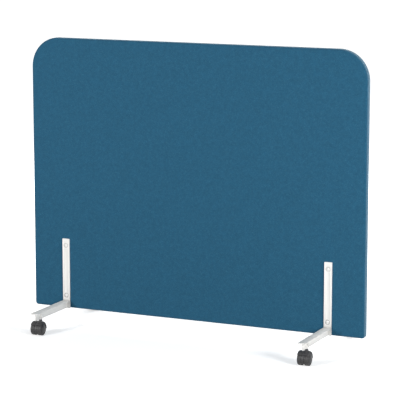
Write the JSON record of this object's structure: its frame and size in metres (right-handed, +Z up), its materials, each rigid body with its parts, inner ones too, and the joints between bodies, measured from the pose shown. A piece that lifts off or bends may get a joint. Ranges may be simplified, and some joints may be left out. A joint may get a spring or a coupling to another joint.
{
  "type": "rolling partition",
  "caption": "Free-standing upholstered room partition with rounded top corners, carried on welded T-section feet with hooded twin-wheel swivel casters.",
  "frame": {"origin": "on the floor under the centre of the panel, midway between the four casters", "axes": "+X along the panel's width, front face towards -Y, +Z up"},
  "size_m": [1.4, 0.566, 1.135],
  "materials": {
    "timber": "planed",
    "wool_board": "pressed mineral wool",
    "felt": "needled felt",
    "cover_cloth": "plain weave wool cloth",
    "foot_paint": "satin powder coat",
    "bolt_paint": "satin paint",
    "zinc_steel": "zinc plated",
    "hood_plastic": "moulded nylon",
    "wheel_plastic": "moulded nylon",
    "tyre_rubber": "soft tread"
  },
  "bodies": {
    "panel": {"left_stile": "timber", "right_stile": "timber", "top_rail": "timber", "bottom_rail": "timber", "left_corner_block": "timber", "right_corner_block": "timber", "left_fixing_block": "timber", "right_fixing_block": "timber", "frame_dowels": "timber", "wool_core": "wool_board", "front_felt": "felt", "rear_felt": "felt", "front_cover": "cover_cloth", "rear_cover": "cover_cloth", "front_left_foot": "foot_paint", "front_right_foot": "foot_paint", "rear_left_foot": "foot_paint", "rear_right_foot": "foot_paint", "left_foot_screws": "bolt_paint", "left_sleeve_nuts": "bolt_paint", "right_foot_screws": "bolt_paint", "right_sleeve_nuts": "bolt_paint", "front_left_stem": "zinc_steel", "front_right_stem": "zinc_steel", "rear_left_stem": "zinc_steel", "rear_right_stem": "zinc_steel"},
    "front_left_caster": {"front_left_hood": "hood_plastic", "front_left_axle": "zinc_steel"},
    "front_right_caster": {"front_right_hood": "hood_plastic", "front_right_axle": "zinc_steel"},
    "rear_left_caster": {"rear_left_hood": "hood_plastic", "rear_left_axle": "zinc_steel"},
    "rear_right_caster": {"rear_right_hood": "hood_plastic", "rear_right_axle": "zinc_steel"},
    "front_left_roller_a": {"front_left_wheel_a": "wheel_plastic", "front_left_tyre_a": "tyre_rubber"},
    "front_left_roller_b": {"front_left_wheel_b": "wheel_plastic", "front_left_tyre_b": "tyre_rubber"},
    "front_right_roller_a": {"front_right_wheel_a": "wheel_plastic", "front_right_tyre_a": "tyre_rubber"},
    "front_right_roller_b": {"front_right_wheel_b": "wheel_plastic", "front_right_tyre_b": "tyre_rubber"},
    "rear_left_roller_a": {"rear_left_wheel_a": "wheel_plastic", "rear_left_tyre_a": "tyre_rubber"},
    "rear_left_roller_b": {"rear_left_wheel_b": "wheel_plastic", "rear_left_tyre_b": "tyre_rubber"},
    "rear_right_roller_a": {"rear_right_wheel_a": "wheel_plastic", "rear_right_tyre_a": "tyre_rubber"},
    "rear_right_roller_b": {"rear_right_wheel_b": "wheel_plastic", "rear_right_tyre_b": "tyre_rubber"}
  },
  "joints": [
    {"name": "front_left_swivel", "type": "hinge", "parent": "panel", "child": "front_left_caster", "pos_m": [-0.555, -0.231, 0.05], "axis": [0, 0, 1], "continuous": true},
    {"name": "front_right_swivel", "type": "hinge", "parent": "panel", "child": "front_right_caster", "pos_m": [0.555, -0.231, 0.05], "axis": [0, 0, 1], "continuous": true},
    {"name": "rear_left_swivel", "type": "hinge", "parent": "panel", "child": "rear_left_caster", "pos_m": [-0.555, 0.231, 0.05], "axis": [0, 0, 1], "continuous": true},
    {"name": "rear_right_swivel", "type": "hinge", "parent": "panel", "child": "rear_right_caster", "pos_m": [0.555, 0.231, 0.05], "axis": [0, 0, 1], "continuous": true},
    {"name": "front_left_roll_a", "type": "hinge", "parent": "front_left_caster", "child": "front_left_roller_a", "pos_m": [-0.5685, -0.249, 0.025], "axis": [1, 0, 0], "continuous": true},
    {"name": "front_left_roll_b", "type": "hinge", "parent": "front_left_caster", "child": "front_left_roller_b", "pos_m": [-0.5415, -0.249, 0.025], "axis": [1, 0, 0], "continuous": true},
    {"name": "front_right_roll_a", "type": "hinge", "parent": "front_right_caster", "child": "front_right_roller_a", "pos_m": [0.5415, -0.249, 0.025], "axis": [1, 0, 0], "continuous": true},
    {"name": "front_right_roll_b", "type": "hinge", "parent": "front_right_caster", "child": "front_right_roller_b", "pos_m": [0.5685, -0.249, 0.025], "axis": [1, 0, 0], "continuous": true},
    {"name": "rear_left_roll_a", "type": "hinge", "parent": "rear_left_caster", "child": "rear_left_roller_a", "pos_m": [-0.5415, 0.249, 0.025], "axis": [1, 0, 0], "continuous": true},
    {"name": "rear_left_roll_b", "type": "hinge", "parent": "rear_left_caster", "child": "rear_left_roller_b", "pos_m": [-0.5685, 0.249, 0.025], "axis": [1, 0, 0], "continuous": true},
    {"name": "rear_right_roll_a", "type": "hinge", "parent": "rear_right_caster", "child": "rear_right_roller_a", "pos_m": [0.5685, 0.249, 0.025], "axis": [1, 0, 0], "continuous": true},
    {"name": "rear_right_roll_b", "type": "hinge", "parent": "rear_right_caster", "child": "rear_right_roller_b", "pos_m": [0.5415, 0.249, 0.025], "axis": [1, 0, 0], "continuous": true}
  ]
}
